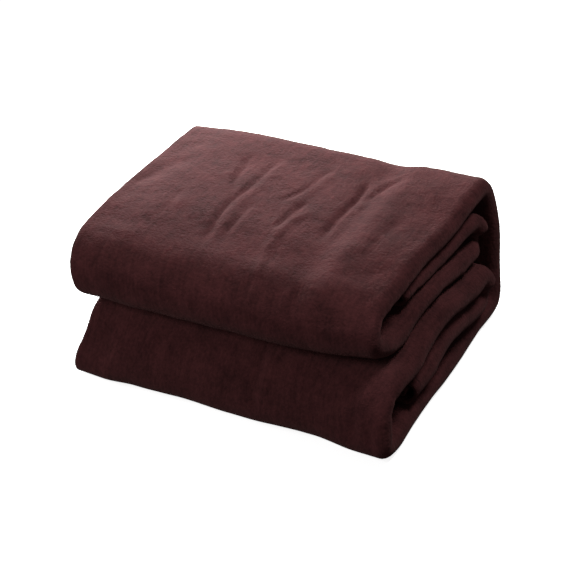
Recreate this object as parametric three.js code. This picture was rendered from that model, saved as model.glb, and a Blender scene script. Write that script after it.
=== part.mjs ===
// A plush fleece blanket, folded for the shelf.
// Millimetres, +Z up, +X along the long side, front at -Y, origin at the bottom centre.
//
// One panel, 1400 x 1900 mm, is folded in half twice across its width into a strip of four plies.
// The strip is then folded along its length into six levels: an upper and a lower bundle of three,
// joined by one wrap at the back. All of it is one closed sheet.

import * as THREE from 'three';

const sheetThickness = 4.5;    // double-faced plush with its pile
const pliesInStrip = 4;

// The strip's outermost ply, seen from the right end, in the order in which the strip runs.
// start and end are y, z in mm; crown is how far the middle arches up; pitch is from ply to ply
// and left and right are where the strip's two long sides lie in x, each at the start and the end.
const levels = [
  { name: 'upper inner', start: [-72, 145], end: [96, 146], crown: 0.5,
    pitch: [6, 6], left: [-182, -184], right: [153, 167] },
  { name: 'upper under', start: [96, 93.5], end: [-114, 92.5], crown: 13,
    pitch: [6, 5.4], left: [-178, -174], right: [173, 162] },
  { name: 'top', start: [-112, 173], end: [120, 173], crown: 1,
    pitch: [7.4, 6.6], left: [-192, -191], right: [154, 164] },
  { name: 'floor', start: [120, 2.25], end: [-124, 2.25], crown: 0,
    pitch: [6.4, 6.4], left: [-188, -185], right: [181, 181] },
  { name: 'lower over', start: [-120, 85.2], end: [92, 86], crown: 13,
    pitch: [7.6, 7.6], left: [-171, -173], right: [180, 185] },
  { name: 'lower inner', start: [92, 28], end: [-95, 30], crown: 13,
    pitch: [7.6, 7.6], left: [-179, -177], right: [184, 181] }
];

// The turn after each level but the last: how far it reaches in y and at what height, how square
// its first and second halves are (2 is an ellipse), the pitch at its middle, and how far the right
// side stands proud in its first half and in its second.
const turns = [
  { name: 'upper back turn', reach: 124, reachHeight: 120, square: [2.1, 2.1], pitch: 5.8, proud: [5, -9] },
  { name: 'upper nose', reach: -163, reachHeight: 125, square: [2.3, 2.2], pitch: 6.6, proud: [-2, -2] },
  { name: 'back wrap', reach: 168, reachHeight: 88, square: [3.2, 3.2], pitch: 5.8, proud: [2, 3] },
  { name: 'lower nose', reach: -170, reachHeight: 36, square: [2.5, 2.2], pitch: 5.8, proud: [0, -3] },
  { name: 'lower back turn', reach: 120, reachHeight: 57, square: [2.1, 2.1], pitch: 6.6, proud: [5, -4] }
];

// Faces along the strip, faces in each fold across it, and the places on a ply's flat run, as
// shares from left to right, that carry an edge. The plies share them so that they nest.
const stepsOnLevel = 5;
const stepsOnTurn = [7, 9, 12, 9, 7];
const stepsInFold = { outer: 6, left: 3, inner: 3 };
const edgesOnPly = [0, 0.25, 0.56, 0.72, 0.83, 0.92, 1];
const edgesOnOutermost = [0, 0.12, 0.25, 0.41, 0.56, 0.72, 0.83, 0.92, 1];

const hemSetback = 9;          // the free hems lie this far inside the left fold
const innerFoldSetback = 4;    // the inner fold lies this far inside the outer one, at the right

const clamp01 = t => Math.min(1, Math.max(0, t));
const ease = (t, from = 0, to = 1) => {
  const s = clamp01((t - from) / (to - from));
  return s * s * (3 - 2 * s);
};

// Value at x on a smooth line through rows of [x, value].
function along(rows, x) {
  const last = rows.length - 1;
  if (x <= rows[0][0]) return rows[0][1];
  if (x >= rows[last][0]) return rows[last][1];
  const i = rows.findIndex(row => row[0] > x);
  const [x0, v0] = rows[i - 1];
  const [x1, v1] = rows[i];
  return v0 + (v1 - v0) * ease(x, x0, x1);
}

// One level of the strip, level at both ends.
class Level extends THREE.Curve {

  constructor(level) {
    super();
    this.level = level;
  }

  getPoint(t) {
    const { start, end, crown } = this.level;
    const point = new THREE.Vector2(...start).lerp(new THREE.Vector2(...end), t);
    point.y += crown * Math.sin(Math.PI * t) ** 2;
    return point;
  }

}

// A half turn from one level's end to the next one's start.
class Turn extends THREE.Curve {

  constructor(from, to, turn) {
    super();
    this.from = from;
    this.to = to;
    this.turn = turn;
    this.arcLengthDivisions = 600;
  }

  getPoint(t) {
    const angle = Math.PI * (t - 0.5);
    const power = 2 / this.turn.square[t < 0.5 ? 0 : 1];
    const rise = Math.sign(Math.sin(angle)) * Math.abs(Math.sin(angle)) ** power;
    const bulge = Math.abs(Math.cos(angle)) ** power;
    const { reach, reachHeight } = this.turn;
    const middleY = (this.from.x + this.to.x) / 2;
    const y = middleY + (this.to.x - this.from.x) / 2 * Math.sin(angle) + (reach - middleY) * bulge;
    const z = reachHeight + (t < 0.5 ? reachHeight - this.from.y : this.to.y - reachHeight) * rise;
    return new THREE.Vector2(y, z);
  }

}

// Stations along the strip: place and outward normal in the y-z plane, pitch, left and right.
function stripStations() {
  const stations = [];
  const add = (curve, t, values) => {
    const place = curve.getPointAt(t);
    const heading = curve.getTangentAt(t);
    stations.push({ place, normal: new THREE.Vector2(-heading.y, heading.x), ...values });
  };

  levels.forEach((level, i) => {
    const run = new Level(level);
    for (let k = i === 0 ? 0 : 1; k <= stepsOnLevel; k++) {
      const mix = key => level[key][0] + (level[key][1] - level[key][0]) * k / stepsOnLevel;
      add(run, k / stepsOnLevel, { pitch: mix('pitch'), left: mix('left'), right: mix('right') });
    }
    if (i === levels.length - 1) return;

    const next = levels[i + 1];
    const turn = turns[i];
    const bend = new Turn(new THREE.Vector2(...level.end), new THREE.Vector2(...next.start), turn);
    for (let k = 1; k <= stepsOnTurn[i]; k++) {
      const t = k / stepsOnTurn[i];
      const share = ease(t);
      const middleShare = 4 * share * (1 - share);
      const mix = key => level[key][1] + (next[key][0] - level[key][1]) * share;
      const sideBulge = turn.proud.map((proud, half) => proud * ease(half === 0 ? 2 * t : 2 - 2 * t));
      const proud = sideBulge[0] * (1 - ease(t, 0.35, 0.65)) + sideBulge[1] * ease(t, 0.35, 0.65);
      add(bend, t, {
        pitch: mix('pitch') + (turn.pitch - (level.pitch[1] + next.pitch[0]) / 2) * middleShare,
        left: mix('left'),
        right: mix('right') + proud
      });
    }
  });
  return stations;
}

// The panel's width folded in half twice, at one station: the free hem of the innermost ply,
// the outer fold at the right, the outermost ply, the left fold, the next ply, the inner fold
// and the last ply back to its hem. depth is 0 at the outermost ply and negative inside it.
function foldedWidth({ pitch, left, right }) {
  const outerRadius = (pliesInStrip - 1) * pitch / 2;
  const innerRadius = pitch / 2;
  const outerX = right - outerRadius;
  const innerX = outerX - innerFoldSetback;
  const leftX = left + innerRadius;
  const points = [];
  const toTheRight = (leftEnd, rightEnd, depth, edges) => {
    for (const share of edges.slice(0, -1)) {
      points.push({ x: leftEnd + (rightEnd - leftEnd) * share, depth, nx: 0, nd: 1 });
    }
  };
  const toTheLeft = (leftEnd, rightEnd, depth, edges) => {
    for (const share of edges.slice(1).reverse()) {
      points.push({ x: leftEnd + (rightEnd - leftEnd) * share, depth, nx: 0, nd: -1 });
    }
  };
  const fold = (centreX, depth, radius, fromAngle, turn, steps) => {
    for (let k = 0; k < steps; k++) {
      const angle = fromAngle + turn * Math.PI * k / steps;
      const side = -turn;
      points.push({
        x: centreX + radius * Math.cos(angle),
        depth: depth + radius * Math.sin(angle),
        nx: side * Math.cos(angle),
        nd: side * Math.sin(angle)
      });
    }
  };
  const hemX = left + hemSetback;
  toTheRight(hemX, outerX, -3 * pitch, edgesOnPly);
  fold(outerX, -outerRadius, outerRadius, -Math.PI / 2, 1, stepsInFold.outer);
  toTheLeft(leftX, outerX, 0, edgesOnOutermost);
  fold(leftX, -innerRadius, innerRadius, Math.PI / 2, 1, stepsInFold.left);
  toTheRight(leftX, innerX, -pitch, edgesOnPly);
  fold(innerX, -1.5 * pitch, innerRadius, Math.PI / 2, -1, stepsInFold.inner);
  toTheLeft(hemX, innerX, -2 * pitch, edgesOnPly);
  points.push({ x: hemX, depth: -2 * pitch, nx: 0, nd: -1 });
  return points;
}

// How the pile has settled, as rows of [x, mm].
const topSag = [[-190, 6.5], [-130, 3], [25, 5], [62, 7], [92, 2], [160, 2]];
const frontOfUpper = [[-190, 3], [-100, -1], [40, 0], [160, 10]];
const frontOfLower = [[-190, 6], [-100, 0], [0, 3], [80, 0], [190, -4]];
const backOfAll = [[-190, -6], [-60, -2], [80, 0], [150, 2]];
const footSpread = 9;          // the weight presses the lowest edges outwards
const centring = { x: 1.72, y: 3.22 };    // puts the origin under the middle of the outline

// At the right the top sinks onto the level below it, all but at the back, and the upper nose
// lifts off the lower bundle.
const shoulder = { drop: 2.5, x: [95, 165], y: [40, 120], z: [112, 172] };
const noseLift = { rise: 8, x: [100, 172], y: [-90, -150], z: [88.4, 91.2], fades: [95, 160] };

// Slow waves in the stack's right end: what they move, how far, their lengths along y and z,
// where they start and the x at which they are full.
const waves = [
  { moves: 'x', size: 1.2, alongY: 150, alongZ: 95, phase: 0.6, x: [110, 175] },
  { moves: 'x', size: 0.3, alongY: 58, alongZ: -140, phase: 2.1, x: [130, 180] },
  { moves: 'z', size: 0.7, alongY: 120, alongZ: 400, phase: 1.2, x: [40, 170] }
];

// Moves a point of the neat fold to where it lies in the settled one.
function settle(x, y, z) {
  const upper = ease(z, 60, 120);
  const front = ease(-y, 20, 150);
  const back = ease(y, 20, 150);
  const shiftFront = along(frontOfLower, x) * (1 - upper) + along(frontOfUpper, x) * upper;
  const spread = footSpread * (1 - ease(z, 0, 45)) * (back - front);
  const settled = new THREE.Vector3(x + centring.x, y + centring.y, z);
  settled.y += shiftFront * front + along(backOfAll, x) * back + spread;
  settled.z -= along(topSag, x) * ease(z, 90, 175);
  settled.z -= shoulder.drop * ease(x, ...shoulder.x) * (1 - ease(y, ...shoulder.y))
    * ease(z, ...shoulder.z);
  settled.z += noseLift.rise * ease(x, ...noseLift.x) * ease(y, ...noseLift.y) * ease(z, ...noseLift.z)
    * (1 - ease(z, ...noseLift.fades));
  for (const wave of waves) {
    const angle = 2 * Math.PI * (y / wave.alongY + z / wave.alongZ) + wave.phase;
    const offFloor = wave.moves === 'z' ? ease(z, 20, 60) : 1;
    settled[wave.moves] += wave.size * Math.sin(angle) * ease(x, ...wave.x) * offFloor;
  }
  return settled;
}

// Two skins half a thickness to each side of the folded surface, and a rim between them.
function sheetGeometry() {
  const rows = stripStations().map(station => ({ station, points: foldedWidth(station) }));
  const rowCount = rows.length;
  const columnCount = rows[0].points.length;
  const positions = [];
  const skin = side => rows.forEach(({ station, points }) => points.forEach(point => {
    const x = point.x + side * sheetThickness / 2 * point.nx;
    const depth = point.depth + side * sheetThickness / 2 * point.nd;
    const y = station.place.x + station.normal.x * depth;
    const z = station.place.y + station.normal.y * depth;
    positions.push(...settle(x, y, z).toArray());
  }));
  skin(1);
  skin(-1);

  const index = [];
  const at = (side, row, column) => (side * rowCount + row) * columnCount + column;
  const quad = (a, b, c, d) => index.push(a, b, c, a, c, d);
  for (let row = 0; row < rowCount - 1; row++) {
    for (let column = 0; column < columnCount - 1; column++) {
      quad(at(0, row, column), at(0, row, column + 1), at(0, row + 1, column + 1), at(0, row + 1, column));
      quad(at(1, row, column), at(1, row + 1, column), at(1, row + 1, column + 1), at(1, row, column + 1));
    }
    const last = columnCount - 1;
    quad(at(0, row, 0), at(0, row + 1, 0), at(1, row + 1, 0), at(1, row, 0));
    quad(at(0, row, last), at(1, row, last), at(1, row + 1, last), at(0, row + 1, last));
  }
  for (let column = 0; column < columnCount - 1; column++) {
    const last = rowCount - 1;
    quad(at(0, 0, column), at(1, 0, column), at(1, 0, column + 1), at(0, 0, column + 1));
    quad(at(0, last, column), at(0, last, column + 1), at(1, last, column + 1), at(1, last, column));
  }

  const geometry = new THREE.BufferGeometry();
  geometry.setAttribute('position', new THREE.Float32BufferAttribute(positions, 3));
  geometry.setIndex(index);
  geometry.computeVertexNormals();
  return geometry;
}

const fleece = new THREE.MeshStandardMaterial({ color: 0x4a2a30, roughness: 0.95, metalness: 0 });

const blanket = new THREE.Mesh(sheetGeometry(), fleece);
blanket.name = 'folded_fleece';

const part = new THREE.Group();
part.add(blanket);

export default part;
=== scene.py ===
import math
from functools import partial

import bpy
import numpy as np
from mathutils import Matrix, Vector


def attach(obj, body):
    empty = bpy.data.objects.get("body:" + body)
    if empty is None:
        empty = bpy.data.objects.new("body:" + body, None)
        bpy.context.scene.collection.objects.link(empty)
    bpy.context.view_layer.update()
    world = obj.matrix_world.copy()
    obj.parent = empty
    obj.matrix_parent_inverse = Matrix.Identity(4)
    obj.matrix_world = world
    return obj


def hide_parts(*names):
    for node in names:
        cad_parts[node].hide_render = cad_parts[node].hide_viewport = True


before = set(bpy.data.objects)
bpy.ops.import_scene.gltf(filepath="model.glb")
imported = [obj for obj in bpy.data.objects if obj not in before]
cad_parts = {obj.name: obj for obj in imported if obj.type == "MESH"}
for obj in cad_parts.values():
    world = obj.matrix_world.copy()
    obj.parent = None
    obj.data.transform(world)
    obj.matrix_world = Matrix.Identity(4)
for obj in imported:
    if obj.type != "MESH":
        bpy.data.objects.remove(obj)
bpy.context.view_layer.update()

# A plush fleece blanket, folded for the shelf. Metres, front at -Y, resting on z = 0.

bpy.ops.object.select_all(action="DESELECT")


# Camera at the photo's viewing angle
shot = {
    "place": (0.7105, -1.5219, 1.0828),
    "azimuth": 25.194,        # degrees, the camera stands to the right of the front
    "elevation": 31.082,
    "lens": 112.5,
    "farthest": 30.0,
}


def addCamera():
    bpy.ops.object.camera_add(location=shot["place"])
    camera = bpy.context.object
    camera.name = "photoCamera"
    camera.rotation_euler = (math.radians(90 - shot["elevation"]), 0, math.radians(shot["azimuth"]))
    camera.data.lens = shot["lens"]
    camera.data.clip_end = shot["farthest"]
    bpy.context.scene.camera = camera


# Plain soft studio: a broad light behind at the left, a fill in front, a small one high at right
studio = {
    "aim": (0, 0, 0.09),
    "floorSize": 60.0,
    "floorHeight": -0.0006,
    "floorColor": (0.93, 0.93, 0.93, 1),
    "floorRoughness": 0.85,
    "floorGlow": 0.90,         # keeps the blanket's shadow pale
    "worldColor": (1.0, 0.98, 0.97, 1),
    "worldStrength": 0.07,
    "lights": [
        {"name": "skyPanel", "place": (-0.50, 0.57, 0.40), "size": 0.55, "watts": 14},
        {"name": "frontFill", "place": (-1.1, -1.6, 1.2), "size": 0.9, "watts": 14},
        {"name": "rightTop", "place": (0.55, 0.25, 1.30), "size": 0.4, "watts": 6.5},
    ],
}


def addStudio():
    world = bpy.data.worlds.new("studioWorld")
    world.use_nodes = True
    background = world.node_tree.nodes["Background"]
    background.inputs["Color"].default_value = studio["worldColor"]
    background.inputs["Strength"].default_value = studio["worldStrength"]
    bpy.context.scene.world = world
    bpy.context.scene.view_settings.view_transform = "Standard"
    for row in studio["lights"]:
        bpy.ops.object.light_add(type="AREA", location=row["place"])
        light = bpy.context.object
        light.name = row["name"]
        light.data.shape = "DISK"
        light.data.size = row["size"]
        light.data.energy = row["watts"]
        towards = Vector(studio["aim"]) - light.location
        light.rotation_euler = towards.to_track_quat("-Z", "Y").to_euler()
    floorPlace = (0, 0, studio["floorHeight"])
    bpy.ops.mesh.primitive_plane_add(size=studio["floorSize"], location=floorPlace)
    floor = bpy.context.object
    floor.name = "studioFloor"
    floor.visible_diffuse = False        # the pale floor throws no light up the dark front
    floor.visible_glossy = False
    paper = bpy.data.materials.new("paleFloor")
    paper.use_nodes = True
    shader = paper.node_tree.nodes["Principled BSDF"]
    shader.inputs["Base Color"].default_value = studio["floorColor"]
    shader.inputs["Roughness"].default_value = studio["floorRoughness"]
    shader.inputs["Emission Color"].default_value = studio["floorColor"]
    shader.inputs["Emission Strength"].default_value = studio["floorGlow"]
    floor.data.materials.append(paper)


addCamera()
addStudio()
print("studio and camera set")

# The cut cloth and how finely each stretch of it is meshed
cloth = {
    "cutWidth": 1.40,
    "cutLength": 1.90,
    "thickness": 0.0045,
    "plies": 4,
    "hemSetback": 0.009,        # the free hems lie this far inside the left fold
    "innerFoldSetback": 0.004,
    "facesOnPly": 14,
    "facesOnOutermost": 100,
    "facesInFold": {"outer": 12, "left": 6, "inner": 4},
    "crowding": 1.2,            # the flat runs are meshed more closely towards the right end
    "proudSwap": (0.35, 0.65),  # where a turn's first proud value gives way to its second
}

# The strip's outermost ply in the y-z plane, in the order in which the strip runs. Pitch and the
# two sides' places in x are given at the level's start and at its end.
levels = [
    {"name": "upper inner", "start": (-0.072, 0.145), "end": (0.096, 0.146), "crown": 0.0005,
     "pitch": (0.0060, 0.0060), "left": (-0.182, -0.184), "right": (0.153, 0.167), "faces": 16},
    {"name": "upper under", "start": (0.096, 0.0935), "end": (-0.114, 0.0925), "crown": 0.013,
     "pitch": (0.0060, 0.0054), "left": (-0.178, -0.174), "right": (0.173, 0.162), "faces": 18},
    {"name": "top", "start": (-0.112, 0.173), "end": (0.120, 0.173), "crown": 0.001,
     "pitch": (0.0074, 0.0066), "left": (-0.192, -0.191), "right": (0.154, 0.164), "faces": 64},
    {"name": "floor", "start": (0.120, 0.00225), "end": (-0.124, 0.00225), "crown": 0.0,
     "pitch": (0.0064, 0.0064), "left": (-0.188, -0.185), "right": (0.181, 0.181), "faces": 9},
    {"name": "lower over", "start": (-0.120, 0.0852), "end": (0.092, 0.086), "crown": 0.013,
     "pitch": (0.0076, 0.0076), "left": (-0.171, -0.173), "right": (0.180, 0.185), "faces": 20},
    {"name": "lower inner", "start": (0.092, 0.028), "end": (-0.095, 0.030), "crown": 0.013,
     "pitch": (0.0076, 0.0076), "left": (-0.179, -0.177), "right": (0.184, 0.181), "faces": 16},
]

# The turn after each level but the last. Square 2 is an ellipse and proud is how far the right
# side stands out, both for the turn's first half and its second.
turns = [
    {"name": "upper back turn", "reach": 0.124, "reachHeight": 0.120, "square": (2.1, 2.1),
     "pitch": 0.0058, "proud": (0.005, -0.009), "faces": 18},
    {"name": "upper nose", "reach": -0.163, "reachHeight": 0.125, "square": (2.3, 2.2),
     "pitch": 0.0066, "proud": (-0.002, -0.002), "faces": 44},
    {"name": "back wrap", "reach": 0.168, "reachHeight": 0.088, "square": (3.2, 3.2),
     "pitch": 0.0058, "proud": (0.002, 0.003), "faces": 34},
    {"name": "lower nose", "reach": -0.170, "reachHeight": 0.036, "square": (2.5, 2.2),
     "pitch": 0.0058, "proud": (0.0, -0.003), "faces": 42},
    {"name": "lower back turn", "reach": 0.120, "reachHeight": 0.057, "square": (2.1, 2.1),
     "pitch": 0.0066, "proud": (0.005, -0.004), "faces": 18},
]

# How the stack has settled, as rows of x and shift
settling = {
    "topSag": [(-0.190, 0.0065), (-0.130, 0.003), (0.025, 0.005), (0.062, 0.007), (0.092, 0.002),
               (0.160, 0.002)],
    "frontOfUpper": [(-0.190, 0.003), (-0.100, -0.001), (0.040, 0.0), (0.160, 0.010)],
    "frontOfLower": [(-0.190, 0.006), (-0.100, 0.0), (0.0, 0.003), (0.080, 0.0), (0.190, -0.004)],
    "backOfAll": [(-0.190, -0.006), (-0.060, -0.002), (0.080, 0.0), (0.150, 0.002)],
    "footSpread": 0.009,            # the two edges on the floor spread apart
    "footHeight": 0.045,
    "upperFrom": (0.060, 0.120),    # heights between the lower bundle and the upper one
    "topFrom": (0.090, 0.175),
    "endsFrom": (0.020, 0.150),     # distances from the middle towards the front and the back
    "offFloor": (0.020, 0.060),     # what lies on the floor stays flat
    "centring": (0.00172, 0.00322),
}

# Places where the weight of the cloth or a hand has moved it. By each axis, the move grows over
# the first stretch and, where there is a second one, fades over that.
gentleMoves = [
    {"name": "right side of the top sinks, all but at the back", "moves": "z", "by": -0.0078,
     "x": [(0.078, 0.168)], "y": [(0.120, 0.040)], "z": [(0.112, 0.172)]},
    {"name": "front of the top rolls off", "moves": "z", "by": -0.0058,
     "y": [(-0.050, -0.136)], "z": [(0.110, 0.170)]},
    {"name": "right end of the upper nose lifts", "moves": "z", "by": 0.008,
     "x": [(0.100, 0.172)], "y": [(-0.090, -0.150)], "z": [(0.0884, 0.0912), (0.095, 0.160)]},
    {"name": "left end of the lower nose is drawn in", "moves": "x", "by": 0.0055,
     "x": [(-0.080, -0.170)], "y": [(-0.020, -0.120)], "z": [(0.030, 0.056), (0.066, 0.096)]},
    {"name": "front foot is drawn in at the left", "moves": "y", "by": 0.0070,
     "x": [(-0.150, -0.110), (-0.065, 0.000)], "y": [(-0.040, -0.150)], "z": [(0.040, 0.0)]},
    {"name": "front foot is drawn in at the right", "moves": "y", "by": 0.0060,
     "x": [(0.020, 0.080), (0.098, 0.145)], "y": [(-0.040, -0.150)], "z": [(0.040, 0.0)]},
]

# Slow waves in the stack's right end, their lengths along y and z in metres
waves = [
    {"moves": "x", "size": 0.0012, "alongY": 0.150, "alongZ": 0.095, "phase": 0.6,
     "x": (0.110, 0.175)},
    {"moves": "x", "size": 0.0003, "alongY": 0.058, "alongZ": -0.140, "phase": 2.1,
     "x": (0.130, 0.180)},
    {"moves": "z", "size": 0.0007, "alongY": 0.120, "alongZ": 0.400, "phase": 1.2,
     "x": (0.040, 0.170)},
]


def ease(value, low=0.0, high=1.0):
    share = np.clip((value - low) / (high - low), 0, 1)
    return share * share * (3 - 2 * share)


def within(value, grows, fades=None):
    share = ease(value, *grows)
    return share * (1 - ease(value, *fades)) if fades else share


def along(rows, x):
    out = np.full(np.shape(x), float(rows[0][1]))
    for (x0, v0), (x1, v1) in zip(rows, rows[1:]):
        out += (v1 - v0) * ease(x, x0, x1)
    return out


# How finely the neat curves are sampled before they are stepped off
sampling = {"level": 200, "turn": 2001, "crease": 160, "creaseSoftening": 25}


def levelLine(level):
    t = np.linspace(0, 1, sampling["level"])
    start, end = np.array(level["start"]), np.array(level["end"])
    line = start + (end - start) * t[:, None]
    line[:, 1] += level["crown"] * np.sin(math.pi * t) ** 2
    return line


def turnLine(start, end, turn):
    angle = np.linspace(-math.pi / 2, math.pi / 2, sampling["turn"])
    power = np.where(angle < 0, 2 / turn["square"][0], 2 / turn["square"][1])
    rise = np.sign(np.sin(angle)) * np.abs(np.sin(angle)) ** power
    bulge = np.abs(np.cos(angle)) ** power
    middleY = (start[0] + end[0]) / 2
    y = middleY + (end[0] - start[0]) / 2 * np.sin(angle) + (turn["reach"] - middleY) * bulge
    reachHeight = turn["reachHeight"]
    z = reachHeight + np.where(angle < 0, reachHeight - start[1], end[1] - reachHeight) * rise
    return np.stack([y, z], 1)


# Even steps along one piece of the strip: places, outward normals, lengths so far
def stepAlong(line, faces, skipFirst):
    pieceLength = np.concatenate([[0], np.cumsum(np.linalg.norm(np.diff(line, axis=0), axis=1))])
    at = np.linspace(0, pieceLength[-1], faces + 1)[1 if skipFirst else 0:]
    heading = np.gradient(line, axis=0)
    heading /= np.linalg.norm(heading, axis=1)[:, None] + 1e-12
    place = np.stack([np.interp(at, pieceLength, line[:, k]) for k in (0, 1)], 1)
    turned = np.stack([np.interp(at, pieceLength, heading[:, k]) for k in (0, 1)], 1)
    turned /= np.linalg.norm(turned, axis=1)[:, None]
    normal = np.stack([-turned[:, 1], turned[:, 0]], 1)
    return place, normal, at, at / pieceLength[-1], pieceLength[-1]


def stripStations():
    rows = {"place": [], "normal": [], "length": [], "pitch": [], "left": [], "right": [], "piece": []}
    soFar = 0.0

    def add(name, line, faces, skipFirst, valuesAt):
        nonlocal soFar
        place, normal, at, share, total = stepAlong(line, faces, skipFirst)
        rows["place"].append(place)
        rows["normal"].append(normal)
        rows["length"].append(soFar + at)
        rows["piece"].append(np.full(len(at), name))
        for key, values in valuesAt(share).items():
            rows[key].append(values)
        soFar += total

    for i, level in enumerate(levels):

        def onLevel(share):
            return {key: level[key][0] + (level[key][1] - level[key][0]) * share
                    for key in ("pitch", "left", "right")}

        add(level["name"], levelLine(level), level["faces"], i > 0, onLevel)
        if i == len(levels) - 1:
            break
        following, turn = levels[i + 1], turns[i]

        def onTurn(share):
            eased = ease(share)
            out = {key: level[key][1] + (following[key][0] - level[key][1]) * eased
                   for key in ("pitch", "left", "right")}
            usual = (level["pitch"][1] + following["pitch"][0]) / 2
            out["pitch"] = out["pitch"] + (turn["pitch"] - usual) * 4 * eased * (1 - eased)
            swap = ease(share, *cloth["proudSwap"])
            out["right"] = out["right"] + turn["proud"][0] * ease(2 * share) * (1 - swap)
            out["right"] = out["right"] + turn["proud"][1] * ease(2 - 2 * share) * swap
            return out

        line = turnLine(level["end"], following["start"], turn)
        add(turn["name"], line, turn["faces"], True, onTurn)
    return {key: np.concatenate(parts) for key, parts in rows.items()}


# The width folded in half twice: x and depth under the outermost ply, for every station
def foldedWidth(stations):
    pitch = stations["pitch"][:, None]
    left = stations["left"][:, None]
    right = stations["right"][:, None]
    outerRadius = (cloth["plies"] - 1) * pitch / 2
    innerRadius = pitch / 2
    outerX = right - outerRadius
    innerX = outerX - cloth["innerFoldSetback"]
    leftX = left + innerRadius
    hemX = left + cloth["hemSetback"]
    folds = cloth["facesInFold"]
    xs, depths = [], []

    # From the left end to the right one, or back again
    def run(leftEnd, rightEnd, depth, count, back=False, last=False):
        share = 1 - (1 - np.linspace(0, 1, count + 1)) ** cloth["crowding"]
        share = share[::-1] if back else share
        share = share if last else share[:-1]
        xs.append(leftEnd + (rightEnd - leftEnd) * share[None, :])
        depths.append(depth + 0 * share[None, :])

    def fold(centreX, depth, radius, fromAngle, turn, count):
        angle = fromAngle + turn * np.linspace(0, math.pi, count + 1)[None, :-1]
        xs.append(centreX + radius * np.cos(angle))
        depths.append(depth + radius * np.sin(angle))

    run(hemX, outerX, -3 * pitch, cloth["facesOnPly"])
    fold(outerX, -outerRadius, outerRadius, -math.pi / 2, 1, folds["outer"])
    run(leftX, outerX, 0 * pitch, cloth["facesOnOutermost"], back=True)
    fold(leftX, -innerRadius, innerRadius, math.pi / 2, 1, folds["left"])
    run(leftX, innerX, -pitch, cloth["facesOnPly"])
    fold(innerX, -1.5 * pitch, innerRadius, math.pi / 2, -1, folds["inner"])
    run(hemX, innerX, -2 * pitch, cloth["facesOnPly"], back=True, last=True)
    return np.concatenate(xs, 1), np.concatenate(depths, 1)


# The folded strip's neat places become the places in the settled stack
def settle(x, y, z):
    neat = {"x": x, "y": y, "z": z}
    upper = ease(z, *settling["upperFrom"])
    front = ease(-y, *settling["endsFrom"])
    back = ease(y, *settling["endsFrom"])
    shiftFront = along(settling["frontOfLower"], x) * (1 - upper)
    shiftFront = shiftFront + along(settling["frontOfUpper"], x) * upper
    spread = settling["footSpread"] * (1 - ease(z, 0.0, settling["footHeight"])) * (back - front)
    settled = {"x": x + settling["centring"][0], "y": y + settling["centring"][1], "z": z + 0.0}
    settled["y"] += shiftFront * front + along(settling["backOfAll"], x) * back + spread
    settled["z"] -= along(settling["topSag"], x) * ease(z, *settling["topFrom"])
    for move in gentleMoves:
        moved = move["by"]
        for axis, value in neat.items():
            if axis in move:
                moved = moved * within(value, *move[axis])
        settled[move["moves"]] += moved
    for wave in waves:
        angle = 2 * math.pi * (y / wave["alongY"] + z / wave["alongZ"]) + wave["phase"]
        rise = wave["size"] * np.sin(angle) * ease(x, *wave["x"])
        if wave["moves"] == "z":
            rise = rise * ease(z, *settling["offFloor"])
        settled[wave["moves"]] += rise
    return np.stack([settled["x"], settled["y"], settled["z"]], -1)


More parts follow.
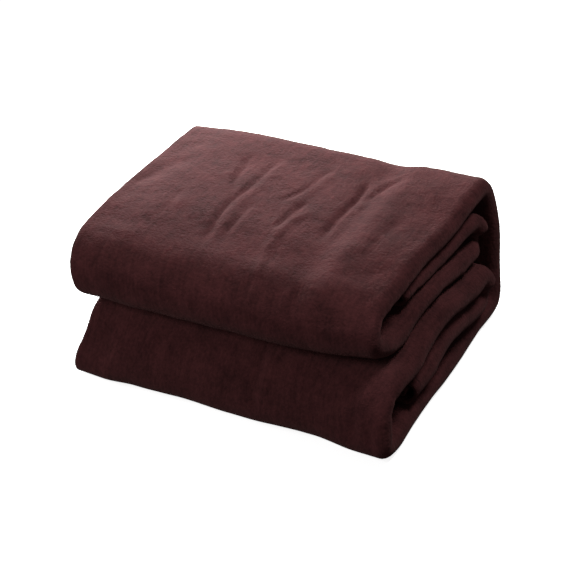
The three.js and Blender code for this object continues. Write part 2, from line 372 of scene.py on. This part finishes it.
# Creases in the outermost ply, from the photo. Points are x, y on the top and x, z on the
# front; a negative depth is a ridge; ridgeSide 1 or -1 adds a low ridge to one side of a trough.
creases = [
    {"on": "top", "depth": 0.0030, "width": 0.0039, "ridgeSide": 1,
     "points": [(-0.051, -0.126), (-0.060, -0.077), (-0.067, -0.017), (-0.061, 0.018), (-0.062, 0.062),
                (-0.058, 0.112)]},
    {"on": "top", "depth": 0.0021, "width": 0.0034, "ridgeSide": 1,
     "points": [(-0.041, -0.090), (-0.042, -0.050), (-0.044, -0.010)]},
    {"on": "top", "depth": 0.0023, "width": 0.0039, "ridgeSide": -1,
     "points": [(-0.069, -0.012), (-0.086, 0.032), (-0.089, 0.062), (-0.097, 0.098)]},
    {"on": "top", "depth": 0.0023, "width": 0.0032, "ridgeSide": -1,
     "points": [(0.001, -0.052), (0.002, -0.026), (0.005, 0.004), (0.011, 0.023)]},
    {"on": "top", "depth": 0.0023, "width": 0.0036, "ridgeSide": 1,
     "points": [(-0.024, -0.006), (-0.012, 0.021), (-0.004, 0.050), (-0.002, 0.085), (0.004, 0.106)]},
    {"on": "top", "depth": -0.0022, "width": 0.0048, "ridgeSide": 0,
     "points": [(0.031, -0.158), (0.019, -0.129), (0.009, -0.089), (0.008, -0.054), (0.010, -0.023),
                (0.026, 0.009)]},
    {"on": "top", "depth": 0.0038, "width": 0.0043, "ridgeSide": 1,
     "points": [(0.052, -0.056), (0.051, -0.034), (0.051, 0.009), (0.053, 0.046), (0.051, 0.071),
                (0.046, 0.103)]},
    {"on": "top", "depth": 0.0021, "width": 0.0038, "ridgeSide": -1,
     "points": [(0.061, 0.036), (0.066, 0.065), (0.073, 0.094), (0.088, 0.116)]},
    {"on": "top", "depth": 0.0022, "width": 0.0110, "ridgeSide": -1,
     "points": [(-0.186, -0.034), (-0.172, 0.018), (-0.149, 0.061)]},
    {"on": "top", "depth": 0.0012, "width": 0.0043, "ridgeSide": 1,
     "points": [(-0.128, -0.095), (-0.122, -0.050), (-0.126, -0.008)]},
    {"on": "top", "depth": 0.0011, "width": 0.0051, "ridgeSide": -1,
     "points": [(0.112, -0.070), (0.108, -0.020), (0.116, 0.040)]},
    {"on": "top", "depth": 0.0006, "width": 0.0040, "ridgeSide": 1,
     "points": [(-0.172, -0.118), (-0.148, -0.124), (-0.118, -0.121)]},
    {"on": "upper nose", "depth": -0.0022, "width": 0.0036, "ridgeSide": 0,
     "points": [(0.058, 0.170), (0.058, 0.146), (0.066, 0.116)]},
    {"on": "upper nose", "depth": 0.0019, "width": 0.0046, "ridgeSide": 0,
     "points": [(0.069, 0.172), (0.067, 0.150), (0.076, 0.122)]},
    {"on": "upper nose", "depth": 0.0015, "width": 0.0050, "ridgeSide": -1,
     "points": [(0.020, 0.171), (0.017, 0.155), (0.011, 0.124)]},
    {"on": "upper nose", "depth": -0.0012, "width": 0.0045, "ridgeSide": 0,
     "points": [(-0.043, 0.155), (-0.044, 0.120)]},
    {"on": "upper nose", "depth": 0.0018, "width": 0.0150, "ridgeSide": 0,
     "points": [(0.108, 0.160), (0.112, 0.136)]},
    {"on": "upper nose", "depth": 0.0013, "width": 0.0060, "ridgeSide": 1,
     "points": [(-0.118, 0.150), (-0.112, 0.112)]},
    {"on": "lower nose", "depth": 0.0018, "width": 0.0050, "ridgeSide": 1,
     "points": [(0.034, 0.084), (0.033, 0.060), (0.031, 0.022)]},
    {"on": "lower nose", "depth": -0.0015, "width": 0.0055, "ridgeSide": 0,
     "points": [(0.047, 0.078), (0.044, 0.048)]},
    {"on": "lower nose", "depth": 0.0013, "width": 0.0060, "ridgeSide": -1,
     "points": [(-0.079, 0.082), (-0.082, 0.046)]},
    {"on": "lower nose", "depth": 0.0013, "width": 0.0070, "ridgeSide": 1,
     "points": [(-0.150, 0.070), (-0.143, 0.030)]},
    {"on": "lower nose", "depth": 0.0018, "width": 0.0050, "ridgeSide": 1,
     "points": [(0.138, 0.080), (0.146, 0.052), (0.143, 0.020)]},
    {"on": "lower nose", "depth": 0.0015, "width": 0.0042, "ridgeSide": -1,
     "points": [(0.162, 0.074), (0.160, 0.044), (0.166, 0.018)]},
    {"on": "back wrap", "depth": 0.0018, "width": 0.0060, "ridgeSide": 1,
     "points": [(-0.090, 0.150), (-0.078, 0.100), (-0.084, 0.050)]},
    {"on": "back wrap", "depth": 0.0016, "width": 0.0050, "ridgeSide": -1,
     "points": [(0.040, 0.158), (0.052, 0.118), (0.046, 0.070)]},
    {"on": "back wrap", "depth": -0.0016, "width": 0.0070, "ridgeSide": 0,
     "points": [(0.118, 0.120), (0.112, 0.070), (0.122, 0.030)]},
]


# A point's place along the strip, from its y on the top or its height on a face
def lengthAt(on, value, stations):
    piece, place, length = stations["piece"], stations["place"], stations["length"]
    if on == "top":
        near = np.flatnonzero((piece == "upper nose") | (piece == "top") | (piece == "back wrap"))
        known = place[near, 0] + settling["centring"][1]
        front, back = known.argmin(), known.argmax()
        near, known = near[front:back + 1], known[front:back + 1]
    else:
        near = np.flatnonzero(piece == on)
        known = place[near, 1]
    order = np.argsort(known)
    return float(np.interp(value, known[order], length[near][order]))


# What all creases share, in widths or in shares of the crease's length
creaseForm = {
    "margin": 5,
    "swell": 0.2,               # how much the depth varies along a crease
    "swellTurns": 9,
    "swellStart": 40,
    "growsOver": (0, 0.22),
    "fadesOver": (0.78, 1),
    "ridgeOffset": 2.1,
    "ridgeWidth": 1.4,
    "ridgeShare": 0.30,
}


# Height of one crease over the outermost ply, given each point's x and its length along the strip
def creaseHeight(crease, x, length, stations):
    points = np.array([(px, lengthAt(crease["on"], value, stations)) for px, value in crease["points"]])
    if points[0, 1] > points[-1, 1]:
        points = points[::-1]
    reach = np.concatenate([[0], np.cumsum(np.linalg.norm(np.diff(points, axis=0), axis=1))])
    at = np.linspace(0, reach[-1], sampling["crease"])
    line = np.stack([np.interp(at, reach, points[:, k]) for k in (0, 1)], 1)
    soft = sampling["creaseSoftening"]
    padded = np.pad(line, ((soft, soft), (0, 0)), mode="edge")
    kernel = np.hanning(2 * soft + 1) / np.hanning(2 * soft + 1).sum()
    line = np.stack([np.convolve(padded[:, k], kernel, mode="valid") for k in (0, 1)], 1)
    heading = np.gradient(line, axis=0)
    heading /= np.linalg.norm(heading, axis=1)[:, None] + 1e-12
    margin = creaseForm["margin"] * crease["width"]
    low, high = line.min(0) - margin, line.max(0) + margin
    near = (x > low[0]) & (x < high[0]) & (length > low[1]) & (length < high[1])
    height = np.zeros(x.shape)
    flat = np.stack([x[near], length[near]], 1)
    offset = flat[:, None, :] - line[None, :, :]
    distance = np.linalg.norm(offset, axis=2)
    nearest = distance.argmin(1)
    pick = np.arange(len(flat))
    off, way = offset[pick, nearest], heading[nearest]
    side = np.sign(off[:, 0] * way[:, 1] - off[:, 1] * way[:, 0])
    signed = side * distance[pick, nearest]
    share = nearest / (len(line) - 1)
    swellAngle = creaseForm["swellTurns"] * share + creaseForm["swellStart"] * line[0, 0]
    swell = 1 - creaseForm["swell"] + creaseForm["swell"] * np.sin(swellAngle)
    width = crease["width"]
    profile = -crease["depth"] * np.exp(-(signed / width) ** 2)
    if crease["ridgeSide"]:
        ridgePlace = crease["ridgeSide"] * creaseForm["ridgeOffset"] * width
        ridge = np.exp(-((signed - ridgePlace) / (creaseForm["ridgeWidth"] * width)) ** 2)
        profile = profile + creaseForm["ridgeShare"] * crease["depth"] * ridge
    height[near] = profile * within(share, creaseForm["growsOver"], creaseForm["fadesOver"]) * swell
    return height


# Tucks across the rounded right end of the strip, where it bends or is squeezed. Share is the
# place along that piece of the strip, and a negative depth is a bulge.
tuckRoundness = 0.8
tucks = [
    {"on": "upper nose", "share": 0.18, "width": 0.0050, "depth": 0.0006},
    {"on": "upper nose", "share": 0.50, "width": 0.0060, "depth": 0.0005},
    {"on": "upper nose", "share": 0.74, "width": 0.0050, "depth": 0.0006},
    {"on": "upper nose", "share": 0.92, "width": 0.0045, "depth": -0.0008},
    {"on": "top", "share": 0.16, "width": 0.0060, "depth": 0.0007},
    {"on": "top", "share": 0.55, "width": 0.0080, "depth": -0.0006},
    {"on": "top", "share": 0.86, "width": 0.0050, "depth": 0.0009},
    {"on": "upper inner", "share": 0.18, "width": 0.0060, "depth": 0.0010},
    {"on": "upper inner", "share": 0.55, "width": 0.0080, "depth": -0.0008},
    {"on": "upper inner", "share": 0.86, "width": 0.0050, "depth": 0.0009},
    {"on": "upper under", "share": 0.12, "width": 0.0050, "depth": -0.0011},
    {"on": "upper under", "share": 0.42, "width": 0.0090, "depth": 0.0010},
    {"on": "upper under", "share": 0.78, "width": 0.0060, "depth": 0.0009},
    {"on": "lower over", "share": 0.18, "width": 0.0080, "depth": 0.0010},
    {"on": "lower over", "share": 0.50, "width": 0.0100, "depth": -0.0009},
    {"on": "lower over", "share": 0.80, "width": 0.0060, "depth": 0.0009},
    {"on": "lower inner", "share": 0.30, "width": 0.0080, "depth": -0.0009},
    {"on": "lower inner", "share": 0.66, "width": 0.0070, "depth": 0.0011},
    {"on": "lower nose", "share": 0.30, "width": 0.0045, "depth": 0.0012},
    {"on": "lower nose", "share": 0.55, "width": 0.0045, "depth": -0.0009},
    {"on": "lower nose", "share": 0.76, "width": 0.0045, "depth": 0.0013},
    {"on": "floor", "share": 0.35, "width": 0.0100, "depth": 0.0008},
]


def tuckHeight(length, across, stations):
    height = np.zeros((len(length), len(across)))
    for tuck in tucks:
        on = stations["length"][stations["piece"] == tuck["on"]]
        middle = on[0] + (on[-1] - on[0]) * tuck["share"]
        profile = -tuck["depth"] * np.exp(-((length - middle) / tuck["width"]) ** 2)
        height += profile[:, None] * across[None, :]
    return height


def outwardNormals(places):
    overRows = np.gradient(places, axis=0)
    overColumns = np.gradient(places, axis=1)
    normal = np.cross(overColumns, overRows)
    return normal / (np.linalg.norm(normal, axis=2)[..., None] + 1e-12)


def foldBlanket():
    stations = stripStations()
    x, depth = foldedWidth(stations)
    y = stations["place"][:, :1] + stations["normal"][:, :1] * depth
    z = stations["place"][:, 1:] + stations["normal"][:, 1:] * depth
    places = settle(x, y, z)
    normal = outwardNormals(places)
    first = cloth["facesOnPly"]
    folds = cloth["facesInFold"]
    rim = slice(first, first + folds["outer"])
    outermost = slice(rim.stop, rim.stop + cloth["facesOnOutermost"])
    height = np.zeros(x.shape)
    lengths = np.broadcast_to(stations["length"][:, None], x.shape)
    for crease in creases:
        height[:, outermost] += creaseHeight(crease, x[:, outermost], lengths[:, outermost], stations)
    across = np.sin(np.linspace(0, math.pi, folds["outer"] + 1)[:-1]) ** tuckRoundness
    height[:, rim] += tuckHeight(stations["length"], across, stations)
    side = np.sign(normal[stations["piece"] == "top"][:, outermost, 2].mean())
    return places + side * normal * height[..., None], stations


places, stations = foldBlanket()
rowCount, columnCount = places.shape[:2]
print("folded cloth worked out:", rowCount, "by", columnCount)

# The cut cloth starts flat, then every point goes to its place in the fold
bpy.ops.mesh.primitive_grid_add(
    x_subdivisions=columnCount - 1, y_subdivisions=rowCount - 1, size=1, calc_uvs=True)
blanket = bpy.context.object
blanket.name = "fleeceBlanket"
blanket.data.name = "fleeceBlanket"
assert len(blanket.data.vertices) == rowCount * columnCount
blanket.data.vertices.foreach_set("co", places.reshape(-1).astype(np.float32))
blanket.data.update()


# The cloth's own flat map in metres: across the panel, then along it
def mapCloth(blanket, places):
    across = np.linalg.norm(np.diff(places, axis=1), axis=2).mean(0)
    across = np.concatenate([[0], np.cumsum(across)])
    across *= cloth["cutWidth"] / across[-1]
    alongStrip = stations["length"] / stations["length"][-1] * cloth["cutLength"]
    flat = np.stack(np.broadcast_arrays(across[None, :], alongStrip[:, None]), -1).reshape(-1, 2)
    corners = np.empty(len(blanket.data.loops), dtype=np.int32)
    blanket.data.loops.foreach_get("vertex_index", corners)
    blanket.data.uv_layers.active.data.foreach_set("uv", flat[corners].reshape(-1).astype(np.float32))


mapCloth(blanket, places)

thick = blanket.modifiers.new("pileThickness", "SOLIDIFY")
thick.thickness = cloth["thickness"]
thick.offset = 0
thick.use_even_offset = True
bpy.ops.object.modifier_apply(modifier=thick.name)
bpy.ops.object.mode_set(mode="EDIT")
bpy.ops.mesh.select_all(action="SELECT")
bpy.ops.mesh.normals_make_consistent(inside=False)
bpy.ops.object.mode_set(mode="OBJECT")
bpy.ops.object.shade_smooth()

# The pile is not quite even: low clouds in its surface, none where it lies on the floor
pile = {
    "clouds": [
        {"name": "pressedPatches", "size": 0.045, "height": 0.0022},
        {"name": "ruffledPatches", "size": 0.014, "height": 0.0009},
    ],
    "cloudDepth": 2,
    "level": 0.5,
    "group": "freePile",
    "freeFrom": (0.004, 0.020),
}
freePile = blanket.vertex_groups.new(name=pile["group"])
for vertex in blanket.data.vertices:
    freePile.add([vertex.index], float(ease(vertex.co.z, *pile["freeFrom"])), "REPLACE")
for clouds in pile["clouds"]:
    texture = bpy.data.textures.new(clouds["name"], "CLOUDS")
    texture.noise_scale = clouds["size"]
    texture.noise_depth = pile["cloudDepth"]
    uneven = blanket.modifiers.new(clouds["name"], "DISPLACE")
    uneven.texture = texture
    uneven.texture_coords = "LOCAL"
    uneven.strength = clouds["height"]
    uneven.mid_level = pile["level"]
    uneven.vertex_group = pile["group"]        # by name: applying a modifier renews the groups
    bpy.ops.object.modifier_apply(modifier=uneven.name)
print("blanket folded:", len(blanket.data.polygons), "faces")

# Finish: dark maroon plush with a soft sheen on its nap
fleeceLook = {
    "darkTone": (0.042, 0.0118, 0.0128, 1),
    "lightTone": (0.104, 0.0286, 0.0302, 1),
    "sheenTint": (0.95, 0.52, 0.50, 1),
    "sheenWeight": 0.09,
    "sheenRoughness": 0.62,
    "roughness": 0.95,
    "specularLevel": 0.08,
    "bumpStrength": 0.8,
    "bumpDistance": 1.0,        # the heights that feed it are in metres
}
napLook = {
    "Patches": 26.0,            # per metre
    "Mottle": 95.0,
    "Tufts": 330.0,
    "Pressed Depth": 0.0012,
    "Tuft Depth": 0.0013,
}


def addNode(tree, kind, x, y, **settings):
    node = tree.nodes.new(kind)
    node.location = (x, y)
    for key, value in settings.items():
        setattr(node, key, value)
    return node


# A Math node with each value set or linked
def addMaths(tree, operation, x, y, *values):
    node = addNode(tree, "ShaderNodeMath", x, y, operation=operation)
    for socket, value in zip(node.inputs, values):
        if isinstance(value, (int, float)):
            socket.default_value = value
        else:
            tree.links.new(value, socket)
    return node.outputs[0]


# How much each pattern counts in the tone, and how fine its detail is
napPatterns = {
    "Patches": {"share": 1.1, "detail": 2},
    "Mottle": {"share": 1.0, "detail": 3},
    "Tufts": {"share": 1.1, "detail": 2},
    "strokes": {"share": 0.9, "detail": 3, "perMetre": (260, 26, 1)},
    "roughness": 0.6,
    "middleTone": 0.5,
}


# Brushed nap: a light and dark tone that shifts in patches, and the pile's own height in metres
def makeNapGroup():
    group = bpy.data.node_groups.new("brushedNap", "ShaderNodeTree")
    face = group.interface
    for name in ("Object Place", "Cloth Place"):
        face.new_socket(name=name, in_out="INPUT", socket_type="NodeSocketVector")
    for name, value in napLook.items():
        socket = face.new_socket(name=name, in_out="INPUT", socket_type="NodeSocketFloat")
        socket.default_value = value
    for name in ("Tone", "Height"):
        face.new_socket(name=name, in_out="OUTPUT", socket_type="NodeSocketFloat")
    taken = addNode(group, "NodeGroupInput", -1400, 0)
    given = addNode(group, "NodeGroupOutput", 700, 0)
    link = group.links.new
    maths = partial(addMaths, group)

    def noise(y, name):
        node = addNode(group, "ShaderNodeTexNoise", -1000, y)
        node.inputs["Detail"].default_value = napPatterns[name]["detail"]
        node.inputs["Roughness"].default_value = napPatterns["roughness"]
        link(taken.outputs["Object Place"], node.inputs["Vector"])
        link(taken.outputs[name], node.inputs["Scale"])
        return node.outputs["Fac"]

    def centred(value, y, name):
        aroundZero = maths("SUBTRACT", -660, y, value, 0.5)
        return maths("MULTIPLY", -480, y, aroundZero, napPatterns[name]["share"])

    patches = noise(400, "Patches")
    mottle = noise(150, "Mottle")
    tufts = noise(-100, "Tufts")
    comb = addNode(group, "ShaderNodeMapping", -1200, -400)
    comb.inputs["Scale"].default_value = napPatterns["strokes"]["perMetre"]
    link(taken.outputs["Cloth Place"], comb.inputs["Vector"])
    strokes = addNode(group, "ShaderNodeTexNoise", -1000, -400)
    strokes.inputs["Scale"].default_value = 1.0
    strokes.inputs["Detail"].default_value = napPatterns["strokes"]["detail"]
    link(comb.outputs["Vector"], strokes.inputs["Vector"])

    broad = maths("ADD", -300, 400, centred(patches, 400, "Patches"), centred(mottle, 250, "Mottle"))
    combed = centred(strokes.outputs["Fac"], -50, "strokes")
    fine = maths("ADD", -300, 100, centred(tufts, 100, "Tufts"), combed)
    varied = maths("ADD", -200, 250, broad, fine)
    tone = maths("ADD", -100, 250, varied, napPatterns["middleTone"])
    clamp = addNode(group, "ShaderNodeClamp", 100, 250)
    link(tone, clamp.inputs["Value"])
    link(clamp.outputs["Result"], given.inputs["Tone"])
    pressed = maths("MULTIPLY", -300, -200, mottle, taken.outputs["Pressed Depth"])
    tufted = maths("MULTIPLY", -300, -350, tufts, taken.outputs["Tuft Depth"])
    link(maths("ADD", 0, -250, pressed, tufted), given.inputs["Height"])
    return group


# A turned hem along the panel's four edges, with one row of stitches
hemLook = {"inset": 0.012, "stitchWidth": 0.0012, "dip": 0.0012}


def makeHemGroup():
    group = bpy.data.node_groups.new("hemStitch", "ShaderNodeTree")
    face = group.interface
    face.new_socket(name="Cloth Place", in_out="INPUT", socket_type="NodeSocketVector")
    for name in ("Stitch", "Height"):
        face.new_socket(name=name, in_out="OUTPUT", socket_type="NodeSocketFloat")
    taken = addNode(group, "NodeGroupInput", -1100, 0)
    given = addNode(group, "NodeGroupOutput", 500, 0)
    link = group.links.new
    maths = partial(addMaths, group)
    parts = addNode(group, "ShaderNodeSeparateXYZ", -900, 0)
    link(taken.outputs["Cloth Place"], parts.inputs["Vector"])
    insets = []
    for y, name, size in ((0, "X", cloth["cutWidth"]), (-200, "Y", cloth["cutLength"])):
        away = maths("SUBTRACT", -700, y, parts.outputs[name], size / 2)
        fromMiddle = maths("ABSOLUTE", -540, y, away)
        insets.append(maths("SUBTRACT", -380, y, size / 2, fromMiddle))
    nearest = maths("MINIMUM", -200, -100, *insets)
    stitch = maths("COMPARE", 0, -100, nearest, hemLook["inset"], hemLook["stitchWidth"])
    link(stitch, given.inputs["Stitch"])
    link(maths("MULTIPLY", 200, -200, stitch, -hemLook["dip"]), given.inputs["Height"])
    return group


def makeFleece():
    material = bpy.data.materials.new("maroonFleece")
    material.use_nodes = True
    tree = material.node_tree
    link = tree.links.new
    shader = tree.nodes["Principled BSDF"]
    shader.inputs["Roughness"].default_value = fleeceLook["roughness"]
    shader.inputs["Specular IOR Level"].default_value = fleeceLook["specularLevel"]
    shader.inputs["Sheen Weight"].default_value = fleeceLook["sheenWeight"]
    shader.inputs["Sheen Roughness"].default_value = fleeceLook["sheenRoughness"]
    shader.inputs["Sheen Tint"].default_value = fleeceLook["sheenTint"]
    place = addNode(tree, "ShaderNodeTexCoord", -1100, 0)
    nap = addNode(tree, "ShaderNodeGroup", -850, 100, node_tree=makeNapGroup())
    hem = addNode(tree, "ShaderNodeGroup", -850, -250, node_tree=makeHemGroup())
    for name, value in napLook.items():
        nap.inputs[name].default_value = value
    link(place.outputs["Object"], nap.inputs["Object Place"])
    link(place.outputs["UV"], nap.inputs["Cloth Place"])
    link(place.outputs["UV"], hem.inputs["Cloth Place"])
    tones = addNode(tree, "ShaderNodeMix", -550, 200, data_type="RGBA")
    tones.inputs["A"].default_value = fleeceLook["darkTone"]
    tones.inputs["B"].default_value = fleeceLook["lightTone"]
    link(nap.outputs["Tone"], tones.inputs["Factor"])
    sewn = addNode(tree, "ShaderNodeMix", -350, 200, data_type="RGBA")
    sewn.inputs["B"].default_value = fleeceLook["darkTone"]
    link(hem.outputs["Stitch"], sewn.inputs["Factor"])
    link(tones.outputs["Result"], sewn.inputs["A"])
    link(sewn.outputs["Result"], shader.inputs["Base Color"])
    height = addMaths(tree, "ADD", -550, -200, nap.outputs["Height"], hem.outputs["Height"])
    bump = addNode(tree, "ShaderNodeBump", -300, -200)
    bump.inputs["Strength"].default_value = fleeceLook["bumpStrength"]
    bump.inputs["Distance"].default_value = fleeceLook["bumpDistance"]
    link(height, bump.inputs["Height"])
    link(bump.outputs["Normal"], shader.inputs["Normal"])
    return material


blanket.data.materials.clear()
blanket.data.materials.append(makeFleece())
print("fleece finished")

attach(blanket, "root")
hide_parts("folded_fleece")
